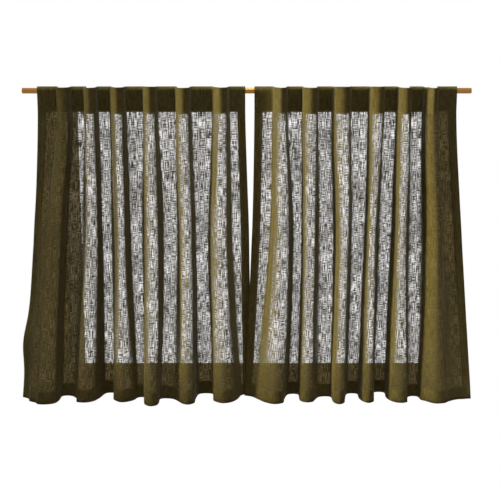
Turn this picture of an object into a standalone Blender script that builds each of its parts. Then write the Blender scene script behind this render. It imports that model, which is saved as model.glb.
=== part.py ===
"""Cafe curtain: two sheer linen panels, hung side by side by hidden back tabs on one thin brass rod.

Metres, with +Z up. The origin is the middle of the rod, on its axis, and the cloth's front faces -Y.
"""

import math
from collections import namedtuple

import bmesh
import bpy

MM = 0.001

# Rod
ROD_LENGTH = 1257 * MM
ROD_RADIUS = 8 * MM
ROD_SIDES = 32
ROD_END_BEVEL = 0.6 * MM

# Cloth, one layer thick, and two layers thick in the heading and the hems
ONE_LAYER = 1.2 * MM
TWO_LAYERS = 2.4 * MM
CLEARANCE = 0.3 * MM
SIDE_HEM = 20 * MM

# Heights from the rod's axis
HEADING_TOP = 13 * MM
HEADING_FOOT = -56.5 * MM
MIDDLE = -420 * MM
HEM_TOP = -863 * MM
HEM_FOOT = -901 * MM
STEP = 1.5 * MM
ROW_HEIGHTS = [
    HEM_FOOT,
    HEM_TOP,
    HEM_TOP + STEP,
    -740 * MM,
    -600 * MM,
    -460 * MM,
    -320 * MM,
    -180 * MM,
    HEADING_FOOT - STEP,
    HEADING_FOOT,
    2 * MM,
    8 * MM,
    HEADING_TOP,
]
# How far the top edge sinks at the nose of a fold that stands 50 mm forward
TOP_DROOP = 1.5 * MM
DROOP_DEPTH = 50 * MM

# Where the heading lies against the front of the rod
SEAT_OUT = ROD_RADIUS + CLEARANCE + TWO_LAYERS

# Back tabs
TAB_THICKNESS = 1.6 * MM
TAB_INSET = 3 * MM
TAB_TOP = 12 * MM
TAB_LEAVES_TOP = 11 * MM
TAB_LEAVES_BACK = 4.9 * MM
TAB_TOP_BACK = 6.0 * MM
TAB_SEAM_TOP = -44 * MM
TAB_FOOT = -54.5 * MM
TAB_ARC_STEPS = 8

# A row for each run of cloth, from left to right, in millimetres. A fold stands forward, a flat lies
# back between two folds, and an edge is the flat at the panel's side. x is the run's middle, wide its
# width, and out its distance in front of the rod's axis, each at the top, at mid height and at the foot.
# rise is how much higher the top edge stands at a fold's nose than its even droop gives, and turn is how
# far the left shoulder of the nose is set back, which turns the nose to the left. lean is how far the nose
# of a fold tilts sideways, or how far an edge's inner side stands out before its outer side.
Run = namedtuple(
    "Run",
    "kind top_x top_wide top_out rise turn mid_x mid_wide mid_out mid_lean "
    "foot_x foot_wide foot_out foot_lean",
)
LEFT_RUNS = [
    Run("edge", -558, 54, 11, 0, 0, -594, 31, 14, 20, -647, 26, 24, 28),
    Run("fold", -507, 37, 59, 3, 0, -542, 47, 65, 0, -579, 64, 75, -3),
    Run("flat", -469, 36, 11, 0, 0, -498, 32, 12, 0, -530, 27, 17, 0),
    Run("fold", -432, 35, 69, 3.5, 0, -438, 44, 65, 0, -456, 67, 64, -15),
    Run("flat", -397, 32, 11, 0, 0, -401, 24, 8, 0, -404, 24, -3, 0),
    Run("fold", -358, 42, 69, 4.5, 12, -357, 41, 67, 0, -350, 61, 60, -17),
    Run("flat", -312, 46, 11, 0, 0, -315, 30, 10, 0, -308, 20, 26, 0),
    Run("fold", -268, 38, 63, 6, 3, -266, 45, 75, 0, -276, 45, 88, 0),
    Run("flat", -223, 48, 11, 0, 0, -218, 34, 14, 0, -235, 33, 38, 0),
    Run("fold", -176, 41, 71, 3.5, 3, -170, 43, 71, 0, -178, 48, 76, 7),
    Run("flat", -125, 56, 11, 0, 0, -129, 34, 6, 0, -121, 39, 1, 0),
    Run("fold", -73, 44, 63, 3.5, 9, -77, 56, 71, 0, -54, 68, 65, -17),
    Run("edge", -25, 42, 11, 0, 0, -16, 45, 7, 12, -3, 28, 0, 12),
]
RIGHT_RUNS = [
    Run("edge", 46, 49, 11, 0, 0, 39, 49, 17, 0, 7, 29, 14, 14),
    Run("fold", 94, 37, 63, 3, 5, 98, 55, 68, 0, 72, 68, 72, 7),
    Run("flat", 134, 38, 11, 0, 0, 146, 20, 10, 0, 136, 26, 6, 0),
    Run("fold", 176, 44, 71, 4, 2, 177, 39, 65, 0, 178, 48, 62, -4),
    Run("flat", 218, 36, 11, 0, 0, 229, 34, 12, 0, 229, 30, 23, 0),
    Run("fold", 264, 50, 65, 6, 2, 273, 38, 70, 0, 268, 39, 74, 0),
    Run("flat", 315, 46, 11, 0, 0, 320, 33, 6, 0, 312, 29, 1, 0),
    Run("fold", 361, 42, 63, 6, 2, 354, 28, 66, 0, 346, 41, 64, 7),
    Run("flat", 400, 33, 11, 0, 0, 398, 28, 4, 0, 393, 28, -8, 0),
    Run("fold", 437, 37, 73, 4, 0, 437, 37, 66, 0, 431, 56, 64, 14),
    Run("flat", 473, 31, 11, 0, 0, 484, 26, 8, 0, 489, 24, 20, 0),
    Run("fold", 510, 38, 71, 3, 14, 533, 40, 70, 0, 551, 78, 69, -6),
    Run("edge", 561, 52, 11, 0, 0, 590, 52, 14, 0, 636, 41, 34, 6),
]

# How far the left panel's outer side swings out above its hem, and at what height, over what reach
FLARE = 11 * MM
FLARE_HEIGHT = -735 * MM
FLARE_REACH = 70 * MM
FLARE_POINTS = 4

# How far the heading's top curls back over the rod where it lies flat against it
CURL_START = 2 * MM
CURL_BACK = 5 * MM
CURL_FADE = 15 * MM

# The shape of a fold in plan, as parts of its half width and of its depth, from one flank to the other
FOLD_SHAPE = [(-1.0, 0.5), (-0.75, 0.86), (0.0, 1.0), (0.75, 0.86), (1.0, 0.5)]
NOSE_PART = 0.8
STEPS = 2

SHADES = {
    "Linen olive": ((0.105, 0.081, 0.031, 1.0), 0.9, 0.0),
    "Brass brushed": ((0.62, 0.38, 0.10, 1.0), 0.35, 1.0),
}


def clear_scene():
    for thing in list(bpy.data.objects):
        bpy.data.objects.remove(thing)


def make_material(name):
    colour, roughness, metallic = SHADES[name]
    material = bpy.data.materials.new(name)
    material.use_nodes = True
    shader = material.node_tree.nodes["Principled BSDF"]
    shader.inputs["Base Color"].default_value = colour
    shader.inputs["Roughness"].default_value = roughness
    shader.inputs["Metallic"].default_value = metallic
    return material


def add_object(name, bm, material, parent):
    mesh = bpy.data.meshes.new(name)
    bm.to_mesh(mesh)
    bm.free()
    mesh.shade_smooth()
    mesh.materials.append(material)
    thing = bpy.data.objects.new(name, mesh)
    bpy.context.scene.collection.objects.link(thing)
    thing.parent = parent
    return thing


def level(run, height):
    """The middle, width and distance out of a run, in metres, and its lean, at one of the three heights."""
    x = getattr(run, height + "_x") * MM
    wide = getattr(run, height + "_wide") * MM
    out = getattr(run, height + "_out") * MM
    lean = 0.0 if height == "top" else getattr(run, height + "_lean") * MM
    return x, wide, out, lean


def plan_points(runs, height):
    """The points of a panel in plan at one height, left to right, each with its x, distance out and rise."""
    points = []
    levels = [level(run, height) for run in runs]
    for index, run in enumerate(runs):
        x, wide, out, lean = levels[index]
        left, right = x - wide / 2, x + wide / 2
        if run.kind == "fold":
            for side, depth in FOLD_SHAPE:
                neighbour = levels[index - 1] if side < 0 else levels[index + 1]
                base = neighbour[2] + neighbour[3]
                shift = lean if depth > NOSE_PART else lean / 2
                back = run.turn * MM if side < 0 and depth > NOSE_PART else 0.0
                x_here = x + side * wide / 2 + shift
                points.append((x_here, base + depth * (out - base) - back, depth * run.rise * MM))
        elif index == 0:
            points += [(left, out, 0.0), (left + SIDE_HEM, out + lean / 2, 0.0), (right, out + lean, 0.0)]
        elif index == len(runs) - 1:
            points += [(left, out + lean, 0.0), (right - SIDE_HEM, out + lean / 2, 0.0), (right, out, 0.0)]
        else:
            points += [(left, out, 0.0), (right, out, 0.0)]
    return points


def curve_point(before, start, end, after, share):
    """A point on the smooth curve from start to end, which leans on the points on both sides of them."""
    times = [0.0]
    for a, b in ((before, start), (start, end), (end, after)):
        times.append(times[-1] + math.sqrt(max(math.dist(a[:2], b[:2]), MM)))
    time = times[1] + share * (times[2] - times[1])

    def mix(a, b, low, high):
        part = (time - low) / (high - low)
        return tuple(p + part * (q - p) for p, q in zip(a, b))

    one = mix(before, start, times[0], times[1])
    two = mix(start, end, times[1], times[2])
    three = mix(end, after, times[2], times[3])
    four = mix(one, two, times[0], times[2])
    five = mix(two, three, times[1], times[3])
    return mix(four, five, times[1], times[2])


def beyond(end, inner):
    """A point as far past an end of the line as the next point lies inside it."""
    return tuple(2 * a - b for a, b in zip(end, inner))


def plan_curve(runs, height):
    """The smooth line of a panel in plan at one height, each point with its x, distance out and rise."""
    points = plan_points(runs, height)
    line = []
    for index in range(len(points) - 1):
        start, end = points[index], points[index + 1]
        before = points[index - 1] if index else beyond(start, end)
        last = index + 2 >= len(points)
        after = beyond(end, start) if last else points[index + 2]
        for step in range(STEPS):
            line.append(curve_point(before, start, end, after, step / STEPS))
    line.append(points[-1])
    return line


def between_heights(top, middle, foot, height):
    """One value at a height, on a smooth line through its values at the heading, mid height and foot."""
    drop = HEADING_FOOT - HEM_FOOT
    time = min(max((HEADING_FOOT - height) / drop, 0.0), 1.0)
    half = (HEADING_FOOT - MIDDLE) / drop
    slopes = (
        0.5 * (middle - top) / half,
        foot - top,
        (foot - middle) / (1 - half),
    )
    if time <= half:
        start, end, reach, part = top, middle, half, time / half
        leave, arrive = slopes[0], slopes[1]
    else:
        start, end, reach, part = middle, foot, 1 - half, (time - half) / (1 - half)
        leave, arrive = slopes[1], slopes[2]
    square, cube = part**2, part**3
    return (
        (2 * cube - 3 * square + 1) * start
        + (cube - 2 * square + part) * reach * leave
        + (3 * square - 2 * cube) * end
        + (cube - square) * reach * arrive
    )


def panel_point(lines, column, height, flare):
    """A point on the front face of a panel."""
    top, middle, foot = (line[column] for line in lines)
    x = between_heights(top[0], middle[0], foot[0], height)
    out = between_heights(top[1], middle[1], foot[1], height)
    near_side = max(1 - column / STEPS / FLARE_POINTS, 0.0)
    x -= flare * near_side * math.exp(-(((height - FLARE_HEIGHT) / FLARE_REACH) ** 2))
    if height >= HEADING_FOOT - STEP:
        out = max(out, SEAT_OUT)
        curl = max((height - CURL_START) / (HEADING_TOP - CURL_START), 0.0) ** 2
        out -= CURL_BACK * curl * max(1 - (out - SEAT_OUT) / CURL_FADE, 0.0)
    if height == HEADING_TOP:
        height += top[2] - TOP_DROOP * max(out - SEAT_OUT, 0.0) / DROOP_DEPTH
    return x, -out, height


def grid_sheet(columns, rows, place):
    """A sheet of columns by rows points, put where place(column, row) says. Row 0 is its foot."""
    bm = bmesh.new()
    bmesh.ops.create_grid(bm, x_segments=columns - 1, y_segments=rows - 1, size=1.0)
    spots = []
    for vert in bm.verts:
        column = round((vert.co.x + 1) / 2 * (columns - 1))
        row = round((vert.co.y + 1) / 2 * (rows - 1))
        vert.co = place(column, row)
        spots.append((column, row))
    return bm, spots


def thicken(thing, thickness, offset):
    solid = thing.modifiers.new("Thickness", "SOLIDIFY")
    solid.thickness = thickness
    solid.offset = offset
    solid.use_even_offset = True
    return solid


def add_panel(name, runs, flare, material, parent):
    """One wavy panel, with its heading and hems two layers thick. The thickness lies behind its front."""
    lines = [plan_curve(runs, height) for height in ("top", "mid", "foot")]
    columns, rows = len(lines[0]), len(ROW_HEIGHTS)
    bm, spots = grid_sheet(
        columns,
        rows,
        lambda column, row: panel_point(lines, column, ROW_HEIGHTS[row], flare),
    )
    panel = add_object(name, bm, material, parent)
    solid = thicken(panel, TWO_LAYERS, -1.0)
    layers = panel.vertex_groups.new(name="Layers")
    for vert, (column, row) in enumerate(spots):
        height = ROW_HEIGHTS[row]
        side_hem = min(column, columns - 1 - column) <= STEPS
        doubled = side_hem or height >= HEADING_FOOT or height <= HEM_TOP
        layers.add([vert], 1.0 if doubled else ONE_LAYER / TWO_LAYERS, "REPLACE")
    solid.vertex_group = layers.name
    return panel


def tab_profile():
    """The middle line of a back tab, seen from the side, as pairs of y and height, from its foot up.

    It is sewn to the back of the heading at both ends, and goes behind and over the rod.
    """
    seam_y = -SEAT_OUT + TWO_LAYERS + CLEARANCE + TAB_THICKNESS / 2
    leaves_y, top_y = seam_y + TAB_LEAVES_BACK, seam_y + TAB_TOP_BACK
    radius = ROD_RADIUS + CLEARANCE + TAB_THICKNESS / 2

    def touch(y, height, turn):
        return math.atan2(height, y) - turn * math.acos(radius / math.hypot(y, height))

    low = touch(seam_y, TAB_SEAM_TOP, -1)
    high = touch(leaves_y, TAB_LEAVES_TOP, 1)
    line = [(seam_y, TAB_FOOT), (seam_y, TAB_SEAM_TOP)]
    for step in range(TAB_ARC_STEPS + 1):
        angle = low + (high - low) * step / TAB_ARC_STEPS
        line.append((radius * math.cos(angle), radius * math.sin(angle)))
    line += [(leaves_y, TAB_LEAVES_TOP), (top_y, TAB_TOP)]
    return line


def add_tab(name, run, material, parent):
    """The strap behind one flat of the heading that the rod goes through."""
    wide = run.top_wide * MM - 2 * TAB_INSET
    line = tab_profile()
    bm, _ = grid_sheet(2, len(line), lambda column, row: ((column - 0.5) * wide, *line[row]))
    tab = add_object(name, bm, material, parent)
    tab.location.x = run.top_x * MM
    thicken(tab, TAB_THICKNESS, 0.0)
    return tab


def add_rod(material, parent):
    bm = bmesh.new()
    bmesh.ops.create_cone(
        bm,
        cap_ends=True,
        segments=ROD_SIDES,
        radius1=ROD_RADIUS,
        radius2=ROD_RADIUS,
        depth=ROD_LENGTH,
    )
    rims = [edge for edge in bm.edges if all(len(vert.link_edges) == 3 for vert in edge.verts)]
    rims = [edge for edge in rims if abs(edge.verts[0].co.z - edge.verts[1].co.z) < MM]
    bmesh.ops.bevel(
        bm,
        geom=rims,
        offset=ROD_END_BEVEL,
        segments=1,
        profile=0.5,
        affect="EDGES",
        material=-1,
    )
    rod = add_object("rod", bm, material, parent)
    rod.rotation_euler = (0.0, math.pi / 2, 0.0)
    rod.data.set_sharp_from_angle(angle=math.radians(40))
    return rod


def main():
    clear_scene()
    linen = make_material("Linen olive")
    brass = make_material("Brass brushed")
    curtain = bpy.data.objects.new("curtain", None)
    bpy.context.scene.collection.objects.link(curtain)
    add_rod(brass, curtain)
    for side, runs, flare in (("left", LEFT_RUNS, FLARE), ("right", RIGHT_RUNS, 0.0)):
        add_panel("panel_" + side, runs, flare, linen, curtain)
        flats = [run for run in runs if run.kind != "fold"]
        for number, run in enumerate(flats, start=1):
            add_tab(f"tab_{side}_{number}", run, linen, curtain)


main()
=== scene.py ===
"""The looks of a cafe curtain: two sheer olive linen panels on one thin brass rod.

Metres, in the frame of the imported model: the origin is the middle of the rod, the front faces -Y.
"""

import math
from collections import namedtuple

import bmesh
import bpy
import numpy as np
from mathutils import Matrix, Vector, noise


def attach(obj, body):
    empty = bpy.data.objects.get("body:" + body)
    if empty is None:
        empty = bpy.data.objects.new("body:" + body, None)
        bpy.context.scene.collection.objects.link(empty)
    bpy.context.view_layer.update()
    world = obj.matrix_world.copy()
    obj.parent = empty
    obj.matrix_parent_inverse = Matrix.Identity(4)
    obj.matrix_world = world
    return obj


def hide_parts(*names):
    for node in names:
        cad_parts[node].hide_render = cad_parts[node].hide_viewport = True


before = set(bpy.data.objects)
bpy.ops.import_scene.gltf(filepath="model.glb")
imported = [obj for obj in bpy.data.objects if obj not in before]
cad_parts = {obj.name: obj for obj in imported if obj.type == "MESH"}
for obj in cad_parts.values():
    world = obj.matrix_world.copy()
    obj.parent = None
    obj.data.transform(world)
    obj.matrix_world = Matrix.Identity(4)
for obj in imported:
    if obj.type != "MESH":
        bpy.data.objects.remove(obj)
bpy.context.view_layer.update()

MM = 0.001

# Rod
ROD_LENGTH = 1257 * MM
ROD_RADIUS = 8 * MM
ROD_SIDES = 64
ROD_END_BEVEL = 0.6 * MM

# Cloth: how thick it looks in one layer, in the turned hems, and in the stiffer turned heading, and how
# far in front of the rod's axis the heading lies, where the solid has two layers and a small clearance
ONE_LAYER = 0.7 * MM
HEM_LAYERS = 1.5 * MM
HEADING_LAYERS = 2.2 * MM
SOLID_LAYERS = 2.4 * MM
CLEARANCE = 0.3 * MM
SEAT_OUT = ROD_RADIUS + CLEARANCE + SOLID_LAYERS
SIDE_HEM = 20 * MM

# Heights from the rod's axis, how far the rows of points lie apart, and how far the top edge sinks at the
# nose of a fold that stands 50 mm forward
HEADING_TOP = 13 * MM
HEADING_FOOT = -56.5 * MM
FREE_HEIGHT = -180 * MM
MIDDLE = -420 * MM
HEM_TOP = -863 * MM
HEM_FOOT = -901 * MM
STEP = 1.0 * MM
ROW_GAP = 10 * MM
CURL_ROW_GAP = ROW_GAP / 4
TOP_DROOP = 1.5 * MM
DROOP_DEPTH = 50 * MM

# Back tabs: their cloth, how far they lie inside the flat they are sewn to, where they leave the rod, and
# the middle line of the cloth as it lies against the heading and round the rod
TAB_THICKNESS = 1.5 * MM
TAB_SOLID_HALF = 0.8 * MM
TAB_EDGE = 0.5 * MM
TAB_COLUMNS = 7
TAB_TURN_STEPS = 16
TAB_INSET = 3 * MM
TAB_TOP = 12 * MM
TAB_LEAVES_TOP = 11 * MM
TAB_LEAVES_BACK = 4.9 * MM
TAB_TOP_BACK = 6.0 * MM
TAB_SEAM_TOP = -44 * MM
TAB_FOOT = -54.5 * MM
TAB_SEAT = -SEAT_OUT + SOLID_LAYERS + CLEARANCE + TAB_SOLID_HALF
TAB_RADIUS = ROD_RADIUS + CLEARANCE + TAB_SOLID_HALF

# A row for each run of cloth, from left to right, in millimetres. A fold stands forward, a flat lies
# back between two folds, and an edge is the flat at the panel's side. x is the run's middle, wide its
# width, and out its distance in front of the rod's axis, each at the top, at mid height and at the foot.
# rise is how much higher the top edge stands at a fold's nose than its even droop gives, and turn is how
# far the left shoulder of the nose is set back, which turns the nose to the left. lean is how far the nose
# of a fold tilts sideways, or how far an edge's inner side stands out before its outer side.
Run = namedtuple(
    "Run",
    "kind top_x top_wide top_out rise turn mid_x mid_wide mid_out mid_lean "
    "foot_x foot_wide foot_out foot_lean",
)
LEFT_RUNS = [
    Run("edge", -558, 54, 11, 0, 0, -594, 31, 14, 20, -647, 26, 24, 28),
    Run("fold", -507, 37, 59, 3, 0, -542, 47, 65, 0, -579, 64, 75, -3),
    Run("flat", -469, 36, 11, 0, 0, -498, 32, 12, 0, -530, 27, 17, 0),
    Run("fold", -432, 35, 69, 3.5, 0, -438, 44, 65, 0, -456, 67, 64, -15),
    Run("flat", -397, 32, 11, 0, 0, -401, 24, 8, 0, -404, 24, -3, 0),
    Run("fold", -358, 42, 69, 4.5, 12, -357, 41, 67, 0, -350, 61, 60, -17),
    Run("flat", -312, 46, 11, 0, 0, -315, 30, 10, 0, -308, 20, 26, 0),
    Run("fold", -268, 38, 63, 6, 3, -266, 45, 75, 0, -276, 45, 88, 0),
    Run("flat", -223, 48, 11, 0, 0, -218, 34, 14, 0, -235, 33, 38, 0),
    Run("fold", -176, 41, 71, 3.5, 3, -170, 43, 71, 0, -178, 48, 76, 7),
    Run("flat", -125, 56, 11, 0, 0, -129, 34, 6, 0, -121, 39, 1, 0),
    Run("fold", -73, 44, 63, 3.5, 9, -77, 56, 71, 0, -54, 68, 65, -17),
    Run("edge", -25, 42, 11, 0, 0, -16, 45, 7, 12, -3, 28, 0, 12),
]
RIGHT_RUNS = [
    Run("edge", 46, 49, 11, 0, 0, 39, 49, 17, 0, 7, 29, 14, 14),
    Run("fold", 94, 37, 63, 3, 5, 98, 55, 68, 0, 72, 68, 72, 7),
    Run("flat", 134, 38, 11, 0, 0, 146, 20, 10, 0, 136, 26, 6, 0),
    Run("fold", 176, 44, 71, 4, 2, 177, 39, 65, 0, 178, 48, 62, -4),
    Run("flat", 218, 36, 11, 0, 0, 229, 34, 12, 0, 229, 30, 23, 0),
    Run("fold", 264, 50, 65, 6, 2, 273, 38, 70, 0, 268, 39, 74, 0),
    Run("flat", 315, 46, 11, 0, 0, 320, 33, 6, 0, 312, 29, 1, 0),
    Run("fold", 361, 42, 63, 6, 2, 354, 28, 66, 0, 346, 41, 64, 7),
    Run("flat", 400, 33, 11, 0, 0, 398, 28, 4, 0, 393, 28, -8, 0),
    Run("fold", 437, 37, 73, 4, 0, 437, 37, 66, 0, 431, 56, 64, 14),
    Run("flat", 473, 31, 11, 0, 0, 484, 26, 8, 0, 489, 24, 20, 0),
    Run("fold", 510, 38, 71, 3, 14, 533, 40, 70, 0, 551, 78, 69, -6),
    Run("edge", 561, 52, 11, 0, 0, 590, 52, 14, 0, 636, 41, 34, 6),
]

# How far the left panel's outer side swings out above its hem, and at what height, over what reach
FLARE = 11 * MM
FLARE_HEIGHT = -735 * MM
FLARE_REACH = 70 * MM
FLARE_POINTS = 4

# How far the heading's top curls back over the rod where it lies flat against it
CURL_START = 2 * MM
CURL_BACK = 5 * MM
CURL_FADE = 15 * MM

# Creases, listed one by one: the x and height of the upper end and of the lower end, the half width, and how
# far the cloth stands out along it, or back where it is less than nothing, in millimetres
LEFT_CREASES = [
    (-573, -105, -592, -690, 9, 3.0),
    (-556, -290, -566, -640, 6, -3.5),
    (-530, -240, -552, -600, 6, -3.0),
    (-486, -60, -497, -230, 6, 3.0),
    (-437, -330, -447, -600, 6, 3.0),
    (-398, -62, -402, -270, 6, -3.0),
    (-311, -240, -306, -560, 8, -3.5),
    (-272, -640, -282, -850, 7, 3.0),
    (-222, -60, -215, -230, 7, 3.5),
    (-172, -420, -180, -780, 7, -3.0),
    (-128, -300, -124, -640, 7, 3.5),
    (-70, -62, -84, -300, 6, 3.0),
    (-20, -250, -8, -700, 8, -4.0),
]
RIGHT_CREASES = [
    (45, -60, 30, -330, 7, 3.5),
    (22, -420, 10, -820, 7, -3.5),
    (92, -300, 84, -640, 7, 3.0),
    (135, -60, 148, -260, 6, 3.0),
    (181, -360, 176, -700, 6, -3.0),
    (226, -110, 232, -360, 8, -3.5),
    (272, -62, 280, -320, 6, 3.0),
    (318, -380, 314, -720, 7, 3.5),
    (352, -240, 348, -560, 5, -3.0),
    (400, -60, 396, -250, 6, 3.0),
    (433, -520, 430, -800, 7, 3.0),
    (482, -240, 488, -560, 6, -3.5),
    (566, -105, 596, -640, 7, -3.5),
    (592, -260, 622, -760, 8, 3.5),
]
CREASE_FADE = 60 * MM
CREASE_START = 4.0

# Small unevenness, broad and fine: how many waves to a metre across and down, and how far it lifts the
# cloth. It grows from nothing at the heading's foot over a short way down.
BROAD_WAVES = (9.0, 4.0, 2.6 * MM)
FINE_WAVES = (30.0, 11.0, 1.1 * MM)
FINE_START = 7.0
UNEVEN_FADE = 120 * MM

# Sewing: the length of a stitch and from one to the next, its half thickness, how far it lies inside an
# edge, and where the closer tacks that hold a tab start and end
STITCH = 2.4 * MM
STITCH_PITCH = 3.2 * MM
STITCH_RADIUS = 0.35 * MM
STITCH_INSET = 2 * MM
TACK_TOP = -8 * MM
TACK_FOOT = -43 * MM
TACK_INSET = 7 * MM

# The shape of a fold in plan, as parts of its half width and of its depth, from one flank to the other
FOLD_SHAPE = [(-1.0, 0.5), (-0.75, 0.86), (0.0, 1.0), (0.75, 0.86), (1.0, 0.5)]
NOSE_PART = 0.8
STEPS = 6

# Linen: how wide and long its threads and their slow drift are drawn, with where each pattern starts,
# and how open the weave is at its thinnest and thickest, and as the cloth turns from flank to front
WARP_THREADS = (1.4 * MM, 30 * MM, 3.0)
WEFT_THREADS = (16 * MM, 1.4 * MM, 11.0)
SLOW_DRIFT = (60 * MM, 90 * MM, 23.0)
WEFT_SHARE = 0.45
WEAVE_OPEN = 0.385
WEAVE_CLOSED = 0.615
GAP_MOST = 0.97
GAP_LEAST = 0.07
FLANK_CLOSED = 0.3
FLANK_OPEN = 0.93
DRIFT_SEEN = (0.3, 0.7)
DRIFT_SHARE = (0.85, 1.15)
GLOW_SHARE = 0.07

# Colours, each with the place on its pattern where it starts or ends, and the cloth's slow warm tint
LINEN_COLOURS = ((0.38, "#5c522c"), (0.62, "#7e7341"))
LINEN_TINT = "#efe2b4"
THREAD_COLOURS = ((0.35, "#6f6740"), (0.65, "#a09668"))
BRASS_COLOURS = ((0.3, "#7e5724"), (0.7, "#9c743a"))

# The size of the sewing thread's twist, and the brush marks on the brass, counted to a metre along the rod
# and across it, which makes them about 170 mm long and 1.1 mm apart
THREAD_TWIST = 0.9 * MM
BRUSH_MARKS = (6.0, 900.0, 900.0)

# Camera, as the photograph was taken: level with the heading and a little above, looking slightly down
CAMERA_PLACE = (9.2 * MM, -2.6, 0.26)
CAMERA_DOWN = 10.0
CAMERA_LENS = 67.0
CAMERA_SHIFT = -0.179

# Lights, each a colour and a strength: past the curtain, through its cloth, and on it, and what share of
# a card's light falls back on the cloth
PAGE_LIGHT = ("#ffffff", 1.0)
CLOTH_LIGHT = ("#bda673", 0.22)
FILL_LIGHT = ("#eadfff", 0.165)
BRIGHT_LIGHT = ("#fffdfb", 0.9)
CARD_BOUNCE = 0.4
DIM_LIGHT = ("#f0dcae", 0.16)

# Suns: the place each shines from, its strength, its width in degrees, and its colour
SUNS = {
    "key": ((-2.7, -1.0, 0.3), 4.0, 11.0, (1.0, 0.97, 0.9)),
    "overhead": ((0.0, -0.05, 1.0), 3.6, 30.0, (0.85, 0.93, 1.0)),
}

# The bright card behind the cloth with its dimmer strip, the floor's height and half its side, and cards
# that keep the key light off the left side and the hems
BRIGHT_CARD = ((-0.481, 0.03, -0.8174), (0.5175, 0.03, -0.0637))
DIM_CARD = ((-0.5161, 0.03, -0.8174), (-0.481, 0.03, -0.0637))
FLOOR = -1.25
FLOOR_HALF = 2.5
SHADE_CARDS = {
    "shade_side": ((-1.3, -0.385, -1.5), (-1.3, 0.3, 0.8)),
    "shade_low": ((-1.3, -1.4, -1.5), (-1.3, -0.385, -0.73)),
}


def linear(hex_colour):
    """A hex colour as linear red, green, blue and alpha."""
    parts = [int(hex_colour[i : i + 2], 16) / 255 for i in (1, 3, 5)]
    return (*[p / 12.92 if p <= 0.04045 else ((p + 0.055) / 1.055) ** 2.4 for p in parts], 1.0)


def add_node(tree, kind, settings=None, links=None):
    """Adds a node. Settings name its properties or sockets, links join a socket to another node's output."""
    made = tree.nodes.new(kind)
    waiting = []
    for name, value in (settings or {}).items():
        if isinstance(name, str) and hasattr(made, name):
            setattr(made, name, value)
        else:
            waiting.append((name, value))
    for name, value in waiting:
        made.inputs[name].default_value = value
    for name, output in (links or {}).items():
        tree.links.new(output, made.inputs[name])
    return made


def new_material(name):
    material = bpy.data.materials.new(name)
    material.use_nodes = True
    material.node_tree.nodes.clear()
    return material


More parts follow.
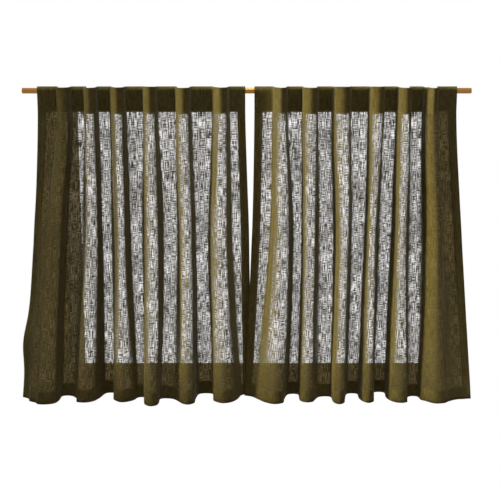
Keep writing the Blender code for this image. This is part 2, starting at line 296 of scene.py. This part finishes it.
def linen_material():
    """Slubby plain-weave linen, piece-dyed olive. Threads of uneven thickness leave uneven gaps between them.

    Real threads lie about 0.7 mm apart. They are drawn about twice as coarse, so that the gaps show. A float
    mix has its two values on sockets 2 and 3, a colour mix on 6 and 7, and a map range runs from 1 and 2 to
    3 and 4.
    """
    material = new_material("linen_open_weave")
    tree = material.node_tree
    cloth = add_node(tree, "ShaderNodeUVMap", {"uv_map": "Cloth"}).outputs["UV"]
    threads = []
    for across, along, seed in WARP_THREADS, WEFT_THREADS, SLOW_DRIFT:
        place = add_node(
            tree,
            "ShaderNodeMapping",
            {"Location": (seed, seed, 0.0), "Scale": (1 / across, 1 / along, 1.0)},
            {"Vector": cloth},
        )
        noise_node = add_node(
            tree,
            "ShaderNodeTexNoise",
            {"noise_dimensions": "2D", "Scale": 1.0, "Detail": 1.0, "Roughness": 0.5},
            {"Vector": place.outputs["Vector"]},
        )
        threads.append(noise_node.outputs["Fac"])
    warp, weft, drift = threads

    # Warp and weft together, thin where both are thin
    weave = add_node(tree, "ShaderNodeMix", {0: WEFT_SHARE}, {2: warp, 3: weft}).outputs[0]
    gaps = add_node(
        tree,
        "ShaderNodeMapRange",
        {"interpolation_type": "SMOOTHSTEP", 1: WEAVE_OPEN, 2: WEAVE_CLOSED, 3: GAP_MOST, 4: GAP_LEAST},
        {"Value": weave},
    ).outputs["Result"]
    slow = add_node(
        tree,
        "ShaderNodeMapRange",
        {1: DRIFT_SEEN[0], 2: DRIFT_SEEN[1], 3: DRIFT_SHARE[0], 4: DRIFT_SHARE[1]},
        {"Value": drift},
    ).outputs["Result"]

    # Round threads close the gaps where the cloth turns away from the front, as on the flank of a fold
    facing = add_node(
        tree, "ShaderNodeSeparateXYZ", {}, {0: add_node(tree, "ShaderNodeNewGeometry").outputs["Normal"]}
    ).outputs["Y"]
    facing = add_node(tree, "ShaderNodeMath", {"operation": "ABSOLUTE"}, {0: facing}).outputs[0]
    open_share = add_node(
        tree,
        "ShaderNodeMapRange",
        {"interpolation_type": "SMOOTHSTEP", 1: FLANK_CLOSED, 2: FLANK_OPEN, 3: 0.0, 4: 1.0},
        {"Value": facing},
    ).outputs["Result"]
    single = add_node(tree, "ShaderNodeAttribute", {"attribute_name": "single"}).outputs["Fac"]
    clear = gaps
    for share in slow, open_share, single:
        clear = add_node(tree, "ShaderNodeMath", {"operation": "MULTIPLY"}, {0: clear, 1: share}).outputs[0]

    colour = add_node(tree, "ShaderNodeValToRGB", {}, {"Fac": weave})
    for stop, (place_on_ramp, shade) in zip(colour.color_ramp.elements, LINEN_COLOURS):
        stop.position = place_on_ramp
        stop.color = linear(shade)
    tint = add_node(
        tree,
        "ShaderNodeMix",
        {"data_type": "RGBA", "blend_type": "MULTIPLY", 7: linear(LINEN_TINT)},
        {"Factor": drift, 6: colour.outputs["Color"]},
    ).outputs[2]
    bump = add_node(
        tree, "ShaderNodeBump", {"Strength": 0.35, "Distance": 0.8 * MM}, {"Height": weave}
    ).outputs["Normal"]
    skin = add_node(
        tree,
        "ShaderNodeBsdfPrincipled",
        {"Roughness": 0.88, "Sheen Weight": 0.06, "Sheen Roughness": 0.4, "Specular IOR Level": 0.06},
        {"Base Color": tint, "Normal": bump},
    ).outputs[0]
    glow = add_node(tree, "ShaderNodeBsdfTranslucent", {}, {"Color": tint, "Normal": bump}).outputs[0]
    body = add_node(tree, "ShaderNodeMixShader", {"Fac": GLOW_SHARE}, {1: skin, 2: glow}).outputs[0]
    hole = add_node(tree, "ShaderNodeBsdfTransparent").outputs[0]
    whole = add_node(tree, "ShaderNodeMixShader", {}, {0: clear, 1: body, 2: hole}).outputs[0]
    add_node(tree, "ShaderNodeOutputMaterial", {}, {"Surface": whole})
    return material


def thread_material():
    """Spun polyester sewing thread, a shade lighter and a little glossier than the linen, finely twisted.

    The twist of a real thread repeats at about 0.4 mm. It is drawn at 0.9 mm, so that it shows.
    """
    material = new_material("thread_spun_polyester")
    tree = material.node_tree
    place = add_node(tree, "ShaderNodeTexCoord").outputs["Object"]
    ply = add_node(
        tree,
        "ShaderNodeTexNoise",
        {"Scale": 1 / THREAD_TWIST, "Detail": 1.0, "Roughness": 0.5},
        {"Vector": place},
    ).outputs["Fac"]
    colour = add_node(tree, "ShaderNodeValToRGB", {}, {"Fac": ply})
    for stop, (place_on_ramp, shade) in zip(colour.color_ramp.elements, THREAD_COLOURS):
        stop.position = place_on_ramp
        stop.color = linear(shade)
    bump = add_node(tree, "ShaderNodeBump", {"Strength": 0.4, "Distance": 0.1 * MM}, {"Height": ply})
    skin = add_node(
        tree,
        "ShaderNodeBsdfPrincipled",
        {"Roughness": 0.55, "Sheen Weight": 0.2},
        {"Base Color": colour.outputs["Color"], "Normal": bump.outputs["Normal"]},
    )
    add_node(tree, "ShaderNodeOutputMaterial", {}, {"Surface": skin.outputs[0]})
    return material


def brass_material():
    """Thin brass, brushed along its length, which draws the highlight out across it.

    Real brush marks lie about 0.1 mm apart. They are drawn ten times as coarse, so that they show.
    """
    material = new_material("brass_brushed")
    tree = material.node_tree
    place = add_node(tree, "ShaderNodeTexCoord").outputs["Object"]
    grain_map = add_node(
        tree, "ShaderNodeMapping", {"Scale": BRUSH_MARKS}, {"Vector": place}
    )
    grain = add_node(
        tree,
        "ShaderNodeTexNoise",
        {"Scale": 1.0, "Detail": 3.0, "Roughness": 0.6},
        {"Vector": grain_map.outputs["Vector"]},
    )
    colour = add_node(tree, "ShaderNodeValToRGB", {}, {"Fac": grain.outputs["Fac"]})
    for stop, (place_on_ramp, shade) in zip(colour.color_ramp.elements, BRASS_COLOURS):
        stop.position = place_on_ramp
        stop.color = linear(shade)
    rough = add_node(
        tree,
        "ShaderNodeMapRange",
        {"From Min": 0.3, "From Max": 0.7, "To Min": 0.28, "To Max": 0.42},
        {"Value": grain.outputs["Fac"]},
    )
    bump = add_node(
        tree, "ShaderNodeBump", {"Strength": 0.15, "Distance": 0.1 * MM}, {"Height": grain.outputs["Fac"]}
    )
    skin = add_node(
        tree,
        "ShaderNodeBsdfPrincipled",
        {"Metallic": 1.0},
        {
            "Base Color": colour.outputs["Color"],
            "Roughness": rough.outputs["Result"],
            "Normal": bump.outputs["Normal"],
        },
    )
    add_node(tree, "ShaderNodeOutputMaterial", {}, {"Surface": skin.outputs[0]})
    return material


def level(run, height):
    """The middle, width and distance out of a run, in metres, and its lean, at one of the three heights."""
    x = getattr(run, height + "_x") * MM
    wide = getattr(run, height + "_wide") * MM
    out = getattr(run, height + "_out") * MM
    lean = 0.0 if height == "top" else getattr(run, height + "_lean") * MM
    return x, wide, out, lean


def plan_points(runs, height):
    """The points of a panel in plan at one height, left to right, each with its x, distance out and rise."""
    points = []
    levels = [level(run, height) for run in runs]
    for index, run in enumerate(runs):
        x, wide, out, lean = levels[index]
        left, right = x - wide / 2, x + wide / 2
        if run.kind == "fold":
            for side, depth in FOLD_SHAPE:
                neighbour = levels[index - 1] if side < 0 else levels[index + 1]
                base = neighbour[2] + neighbour[3]
                shift = lean if depth > NOSE_PART else lean / 2
                back = run.turn * MM if side < 0 and depth > NOSE_PART else 0.0
                x_here = x + side * wide / 2 + shift
                points.append((x_here, base + depth * (out - base) - back, depth * run.rise * MM))
        elif index == 0:
            points += [(left, out, 0.0), (left + SIDE_HEM, out + lean / 2, 0.0), (right, out + lean, 0.0)]
        elif index == len(runs) - 1:
            points += [(left, out + lean, 0.0), (right - SIDE_HEM, out + lean / 2, 0.0), (right, out, 0.0)]
        else:
            points += [(left, out, 0.0), (right, out, 0.0)]
    return points


def curve_point(before, start, end, after, share):
    """A point on the smooth curve from start to end, which leans on the points on both sides of them."""
    times = [0.0]
    for a, b in ((before, start), (start, end), (end, after)):
        times.append(times[-1] + math.sqrt(max(math.dist(a[:2], b[:2]), MM)))
    time = times[1] + share * (times[2] - times[1])

    def mix(a, b, low, high):
        part = (time - low) / (high - low)
        return tuple(p + part * (q - p) for p, q in zip(a, b))

    one = mix(before, start, times[0], times[1])
    two = mix(start, end, times[1], times[2])
    three = mix(end, after, times[2], times[3])
    four = mix(one, two, times[0], times[2])
    five = mix(two, three, times[1], times[3])
    return mix(four, five, times[1], times[2])


def beyond(end, inner):
    """A point as far past an end of the line as the next point lies inside it."""
    return tuple(2 * a - b for a, b in zip(end, inner))


def plan_curve(runs, height):
    """The smooth line of a panel in plan at one height, as rows of x, distance out and rise."""
    points = plan_points(runs, height)
    line = []
    for index in range(len(points) - 1):
        start, end = points[index], points[index + 1]
        before = points[index - 1] if index else beyond(start, end)
        last = index + 2 >= len(points)
        after = beyond(end, start) if last else points[index + 2]
        for step in range(STEPS):
            line.append(curve_point(before, start, end, after, step / STEPS))
    line.append(points[-1])
    return np.array(line)


def between_heights(top, middle, foot, height):
    """Values at a height, on smooth lines through those at the heading, at mid height and at the foot."""
    drop = HEADING_FOOT - HEM_FOOT
    time = min(max((HEADING_FOOT - height) / drop, 0.0), 1.0)
    half = (HEADING_FOOT - MIDDLE) / drop
    slopes = (
        0.5 * (middle - top) / half,
        foot - top,
        (foot - middle) / (1 - half),
    )
    if time <= half:
        start, end, reach, part = top, middle, half, time / half
        leave, arrive = slopes[0], slopes[1]
    else:
        start, end, reach, part = middle, foot, 1 - half, (time - half) / (1 - half)
        leave, arrive = slopes[1], slopes[2]
    square, cube = part**2, part**3
    return (
        (2 * cube - 3 * square + 1) * start
        + (cube - 2 * square + part) * reach * leave
        + (3 * square - 2 * cube) * end
        + (cube - square) * reach * arrive
    )


def row_heights():
    """The heights of the cloth's rows of points, from its foot up, with a close pair at each turned edge."""
    heights = [HEM_FOOT]
    for low, high, gap in (
        (HEM_FOOT, HEM_TOP, ROW_GAP),
        (HEM_TOP, HEM_TOP + STEP, STEP),
        (HEM_TOP + STEP, HEADING_FOOT - STEP, ROW_GAP),
        (HEADING_FOOT - STEP, HEADING_FOOT, STEP),
        (HEADING_FOOT, CURL_START, ROW_GAP),
        (CURL_START, HEADING_TOP, CURL_ROW_GAP),
    ):
        heights += list(np.linspace(low, high, math.ceil((high - low) / gap - 0.01) + 1)[1:])
    return heights


def panel_points(runs, heights, flare):
    """The front of a panel as an array of points, a row for each height."""
    top, middle, foot = (plan_curve(runs, height) for height in ("top", "mid", "foot"))
    near_side = np.maximum(1 - np.arange(len(top)) / STEPS / FLARE_POINTS, 0.0)
    rows = []
    for height in heights:
        line = between_heights(top, middle, foot, height)
        x, out = line[:, 0], line[:, 1]
        x = x - flare * near_side * math.exp(-(((height - FLARE_HEIGHT) / FLARE_REACH) ** 2))
        pressed = min(max((height - FREE_HEIGHT) / (HEADING_FOOT - STEP - FREE_HEIGHT), 0.0), 1.0)
        out = out + pressed * (np.maximum(out, SEAT_OUT) - out)
        curl = max((height - CURL_START) / (HEADING_TOP - CURL_START), 0.0) ** 2
        near_top = max(height - HEADING_FOOT, 0.0) / (HEADING_TOP - HEADING_FOOT)
        z = height + near_top * (top[:, 2] - TOP_DROOP * np.maximum(out - SEAT_OUT, 0.0) / DROOP_DEPTH)
        out = out - CURL_BACK * curl * np.maximum(1 - (out - SEAT_OUT) / CURL_FADE, 0.0)
        rows.append(np.stack([x, -out, z], axis=1))
    return np.array(rows)


def widths_across(points):
    """How far each column of points lies across the cloth, in metres, measured on the cloth."""
    steps = np.linalg.norm(np.diff(points, axis=1), axis=2).mean(axis=0)
    return np.concatenate([[0.0], np.cumsum(steps)])


def crease_lift(points, height, creases):
    """How far each point of one row is lifted by the listed creases."""
    lift = np.zeros(len(points))
    for upper_x, upper, lower_x, lower, wide, out in creases:
        part = (upper * MM - height) / ((upper - lower) * MM)
        middle = (upper_x + part * (lower_x - upper_x)) * MM
        inside = min(height - lower * MM, upper * MM - height)
        fade = min(max(inside / CREASE_FADE + 0.5, 0.0), 1.0)
        lift += out * MM * fade * np.exp(-(((points[:, 0] - middle) / (wide * MM)) ** 2))
    return lift


def wrinkle(points, across, heights, creases, seed):
    """Moves the points a little along their normals, so that the cloth hangs unevenly below the heading."""
    over = np.gradient(points, axis=1)
    up = np.gradient(points, axis=0)
    normal = np.cross(over, up)
    normal /= np.linalg.norm(normal, axis=2, keepdims=True)
    lift = np.zeros(points.shape[:2])
    for row, height in enumerate(heights):
        free = min(max((HEADING_FOOT - height) / UNEVEN_FADE, 0.0), 1.0)
        lift[row] = min(free * CREASE_START, 1.0) * crease_lift(points[row], height, creases)
        for column, width in enumerate(across):
            uneven = 0.0
            for (over_waves, down_waves, most), start in (BROAD_WAVES, seed), (FINE_WAVES, seed + FINE_START):
                uneven += most * noise.noise(Vector((width * over_waves, height * down_waves, start)))
            lift[row, column] += free * uneven
    return points + normal * lift[:, :, None]


def grid_sheet(columns, rows, place):
    """A sheet of columns by rows points, put where place(column, row) says. Row 0 is its foot."""
    bm = bmesh.new()
    bmesh.ops.create_grid(bm, x_segments=columns - 1, y_segments=rows - 1, size=1.0)
    spots = []
    for vert in bm.verts:
        column = round((vert.co.x + 1) / 2 * (columns - 1))
        row = round((vert.co.y + 1) / 2 * (rows - 1))
        vert.co = place(column, row)
        spots.append((column, row))
    return bm, spots


def lay_uv(bm, spots, across, along):
    """Gives a sheet its Cloth coordinates: across and along the cloth, in metres."""
    layer = bm.loops.layers.uv.new("Cloth")
    bm.verts.index_update()
    for face in bm.faces:
        for loop in face.loops:
            column, row = spots[loop.vert.index]
            loop[layer].uv = (across[column], along[row])


def add_piece(name, bm, material):
    mesh = bpy.data.meshes.new(name)
    bm.to_mesh(mesh)
    bm.free()
    mesh.shade_smooth()
    mesh.materials.append(material)
    thing = bpy.data.objects.new(name, mesh)
    bpy.context.scene.collection.objects.link(thing)
    return thing


def thicken(thing, thickness, offset):
    solid = thing.modifiers.new("Thickness", "SOLIDIFY")
    solid.thickness = thickness
    solid.offset = offset
    solid.use_even_offset = True
    return solid


def add_panel(name, runs, flare, creases, seed, material):
    """One panel with its folds, its small unevenness, and its turned heading and hems behind it."""
    heights = row_heights()
    points = panel_points(runs, heights, flare)
    across = widths_across(points)
    points = wrinkle(points, across, heights, creases, seed)
    rows, columns = points.shape[:2]
    bm, spots = grid_sheet(columns, rows, lambda column, row: points[row, column])
    lay_uv(bm, spots, across, [HEADING_TOP - height for height in heights])
    layers = bm.verts.layers.deform.verify()
    single = bm.verts.layers.float.new("single")
    for vert, (column, row) in zip(bm.verts, spots):
        height = heights[row]
        side_hem = min(column, columns - 1 - column) <= STEPS
        thick = ONE_LAYER
        if height >= HEADING_FOOT:
            thick = HEADING_LAYERS
        elif side_hem or height <= HEM_TOP:
            thick = HEM_LAYERS
        vert[layers][0] = thick / HEADING_LAYERS
        vert[single] = 1.0 if thick == ONE_LAYER else 0.0
    panel = add_piece(name, bm, material)
    group = panel.vertex_groups.new(name="Layers")
    thicken(panel, HEADING_LAYERS, -1.0).vertex_group = group.name
    return panel, points, across


def on_cloth(points, heights, across, width, height):
    """The point of the cloth at a distance across it and at a height before its small unevenness."""
    row = np.interp(height, heights, np.arange(len(heights)))
    column = np.interp(width, across, np.arange(len(across)))
    low, left = min(int(row), len(heights) - 2), min(int(column), len(across) - 2)
    up, over = row - low, column - left
    lower = (1 - over) * points[low, left] + over * points[low, left + 1]
    upper = (1 - over) * points[low + 1, left] + over * points[low + 1, left + 1]
    return Vector((1 - up) * lower + up * upper)


def add_stitches(name, runs, points, across, material):
    """The sewing of one panel: round its heading and hems, and the tacks that hold its tabs."""
    heights = row_heights()
    lines = []
    inner = SIDE_HEM - STITCH_INSET
    for height in (HEADING_FOOT + STITCH_INSET, HEM_TOP - STITCH_INSET):
        lines.append(((STITCH_INSET, height), (across[-1] - STITCH_INSET, height)))
    for width in (inner, across[-1] - inner):
        lines.append(((width, HEM_TOP), (width, HEADING_FOOT)))
    for run in runs:
        if run.kind == "fold":
            continue
        for side in (-1, 1):
            place = run.top_x * MM + side * (run.top_wide * MM / 2 - TACK_INSET)
            nearest = np.argmin(np.abs(points[-1, :, 0] - place))
            lines.append(((across[nearest], TACK_FOOT), (across[nearest], TACK_TOP)))
    bm = bmesh.new()
    for start, end in lines:
        length = math.dist(start, end)
        count = int(length / STITCH_PITCH)
        for number in range(count):
            ends = []
            for along in (number * STITCH_PITCH, number * STITCH_PITCH + STITCH):
                part = along / length
                width, height = (a + part * (b - a) for a, b in zip(start, end))
                ends.append(on_cloth(points, heights, across, width, height))
            turn = (ends[1] - ends[0]).to_track_quat("X", "Z").to_matrix().to_4x4()
            size = Matrix.Diagonal((STITCH / 2, STITCH_RADIUS, STITCH_RADIUS, 1.0))
            place = Matrix.Translation((ends[0] + ends[1]) / 2)
            bmesh.ops.create_icosphere(bm, subdivisions=1, radius=1.0, matrix=place @ turn @ size)
    return add_piece(name, bm, material)


def tab_profile():
    """The middle line of a back tab, seen from the side, as pairs of y and height, from its foot up."""

    def touch(y, height, turn):
        return math.atan2(height, y) - turn * math.acos(TAB_RADIUS / math.hypot(y, height))

    low = touch(TAB_SEAT, TAB_SEAM_TOP, -1)
    high = touch(TAB_SEAT + TAB_LEAVES_BACK, TAB_LEAVES_TOP, 1)
    line = [(TAB_SEAT, TAB_FOOT), (TAB_SEAT, TAB_SEAM_TOP)]
    for step in range(TAB_TURN_STEPS + 1):
        angle = low + (high - low) * step / TAB_TURN_STEPS
        line.append((TAB_RADIUS * math.cos(angle), TAB_RADIUS * math.sin(angle)))
    line += [(TAB_SEAT + TAB_LEAVES_BACK, TAB_LEAVES_TOP), (TAB_SEAT + TAB_TOP_BACK, TAB_TOP)]
    return line


def add_tab(name, run, material):
    wide = run.top_wide * MM - 2 * TAB_INSET
    centre = run.top_x * MM
    line = tab_profile()
    bm, spots = grid_sheet(
        TAB_COLUMNS,
        len(line),
        lambda column, row: (centre + (column / (TAB_COLUMNS - 1) - 0.5) * wide, *line[row]),
    )
    lengths = np.concatenate([[0.0], np.cumsum([math.dist(a, b) for a, b in zip(line, line[1:])])])
    lay_uv(bm, spots, np.linspace(0, wide, TAB_COLUMNS) + centre, lengths)
    tab = add_piece(name, bm, material)
    thicken(tab, TAB_THICKNESS, 0.0)
    edge = tab.modifiers.new("Soft edge", "BEVEL")
    edge.width = TAB_EDGE
    edge.segments = 2
    edge.limit_method = "ANGLE"
    return tab


def add_rod(material):
    bm = bmesh.new()
    bmesh.ops.create_cone(
        bm,
        cap_ends=True,
        segments=ROD_SIDES,
        radius1=ROD_RADIUS,
        radius2=ROD_RADIUS,
        depth=ROD_LENGTH,
        matrix=Matrix.Rotation(math.pi / 2, 4, "Y"),
    )
    rims = [edge for edge in bm.edges if abs(edge.verts[0].co.x - edge.verts[1].co.x) < MM]
    bmesh.ops.bevel(
        bm,
        geom=rims,
        offset=ROD_END_BEVEL,
        segments=2,
        profile=0.5,
        affect="EDGES",
        material=-1,
    )
    rod = add_piece("brass_rod", bm, material)
    rod.data.set_sharp_from_angle(angle=math.radians(40))
    return rod


def add_sun(name, place, strength, softness, colour):
    """A light from far off that shines from a place towards the origin. Softness is its width in degrees."""
    data = bpy.data.lights.new(name, "SUN")
    data.energy = strength
    data.angle = math.radians(softness)
    data.color = colour
    lamp = bpy.data.objects.new(name, data)
    bpy.context.scene.collection.objects.link(lamp)
    lamp.location = place
    lamp.rotation_euler = (-Vector(place)).to_track_quat("-Z", "Y").to_euler()


def lit_surface(tree, kind, output, page, room, fill):
    """A sky or surface with one light past the curtain and in gloss, one through the cloth, and one on it."""
    path = add_node(tree, "ShaderNodeLightPath")
    past = add_node(
        tree, "ShaderNodeMath", {"operation": "LESS_THAN", 1: 0.5}, {0: path.outputs["Transparent Depth"]}
    ).outputs[0]
    lights = [
        add_node(tree, kind, {"Color": linear(colour), "Strength": strength}).outputs[0]
        for colour, strength in (page, room, fill)
    ]
    seen = add_node(tree, "ShaderNodeMixShader", {}, {0: past, 1: lights[1], 2: lights[0]}).outputs[0]
    unseen = add_node(
        tree, "ShaderNodeMixShader", {}, {0: path.outputs["Is Glossy Ray"], 1: lights[2], 2: lights[0]}
    ).outputs[0]
    mix = add_node(
        tree, "ShaderNodeMixShader", {}, {0: path.outputs["Is Camera Ray"], 1: unseen, 2: seen}
    ).outputs[0]
    return add_node(tree, output, {}, {"Surface": mix}), mix


def add_plane(name, corners, material):
    """A flat stage piece between two opposite corners, one of whose measures is nothing."""
    low, high = (Vector(corner) for corner in corners)
    thin = min(range(3), key=lambda axis: high[axis] - low[axis])
    one, two = [axis for axis in range(3) if axis != thin]
    bm = bmesh.new()
    bmesh.ops.create_grid(bm, x_segments=1, y_segments=1, size=0.5)
    for vert in bm.verts:
        spot = low.copy()
        spot[one] += (vert.co.x + 0.5) * (high[one] - low[one])
        spot[two] += (vert.co.y + 0.5) * (high[two] - low[two])
        vert.co = spot
    plane = add_piece(name, bm, material)
    return plane


def add_stage():
    """A white page round the curtain, a dimmer one through its cloth, and bright cards close behind it."""
    world = bpy.data.worlds.new("page")
    bpy.context.scene.world = world
    world.use_nodes = True
    world.node_tree.nodes.clear()
    lit_surface(
        world.node_tree, "ShaderNodeBackground", "ShaderNodeOutputWorld", PAGE_LIGHT, CLOTH_LIGHT, FILL_LIGHT
    )
    for name, corners, light in (
        ("bright_card", BRIGHT_CARD, BRIGHT_LIGHT),
        ("dim_card", DIM_CARD, DIM_LIGHT),
    ):
        glow = new_material(name)
        bounce = (light[0], light[1] * CARD_BOUNCE)
        tree = glow.node_tree
        outlet, front = lit_surface(
            tree, "ShaderNodeEmission", "ShaderNodeOutputMaterial", PAGE_LIGHT, light, bounce
        )
        back = add_node(tree, "ShaderNodeNewGeometry").outputs["Backfacing"]
        clear = add_node(tree, "ShaderNodeBsdfTransparent").outputs[0]
        one_sided = add_node(tree, "ShaderNodeMixShader", {}, {0: back, 1: front, 2: clear}).outputs[0]
        tree.links.new(one_sided, outlet.inputs["Surface"])
        add_plane(name, corners, glow)

    white = new_material("floor_white")
    lit_surface(
        white.node_tree, "ShaderNodeEmission", "ShaderNodeOutputMaterial", PAGE_LIGHT, CLOTH_LIGHT, FILL_LIGHT
    )
    floor = add_plane("floor", ((-FLOOR_HALF, -FLOOR_HALF, FLOOR), (FLOOR_HALF, FLOOR_HALF, FLOOR)), white)
    floor.visible_diffuse = False
    floor.visible_shadow = False

    for name, corners in SHADE_CARDS.items():
        card = add_plane(name, corners, white)
        card.visible_camera = False
        card.visible_diffuse = False
        card.visible_glossy = False
        card.visible_transmission = False


def add_camera():
    data = bpy.data.cameras.new("camera")
    data.sensor_width = 36.0
    data.lens = CAMERA_LENS
    data.shift_y = CAMERA_SHIFT
    camera = bpy.data.objects.new("camera", data)
    camera.location = CAMERA_PLACE
    camera.rotation_euler = (math.radians(90 - CAMERA_DOWN), 0.0, 0.0)
    bpy.context.scene.collection.objects.link(camera)
    bpy.context.scene.camera = camera


def main():
    linen = linen_material()
    thread = thread_material()
    brass = brass_material()
    rod = add_rod(brass)
    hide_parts("rod")
    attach(rod, "root")
    for side, runs, flare, creases, seed in (
        ("left", LEFT_RUNS, FLARE, LEFT_CREASES, 2.5),
        ("right", RIGHT_RUNS, 0.0, RIGHT_CREASES, 8.5),
    ):
        panel, points, across = add_panel("cloth_" + side, runs, flare, creases, seed, linen)
        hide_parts("panel_" + side)
        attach(panel, "root")
        flats = [run for run in runs if run.kind != "fold"]
        for number, run in enumerate(flats, start=1):
            tab = add_tab(f"back_tab_{side}_{number}", run, linen)
            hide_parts(f"tab_{side}_{number}")
            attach(tab, "root")
        stitches = add_stitches("stitches_" + side, runs, points, across, thread)
        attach(stitches, "root")
    add_stage()
    for name, light in SUNS.items():
        add_sun(name, *light)
    add_camera()
    scene = bpy.context.scene
    scene.view_settings.view_transform = "Standard"
    scene.cycles.transparent_max_bounces = 24


main()
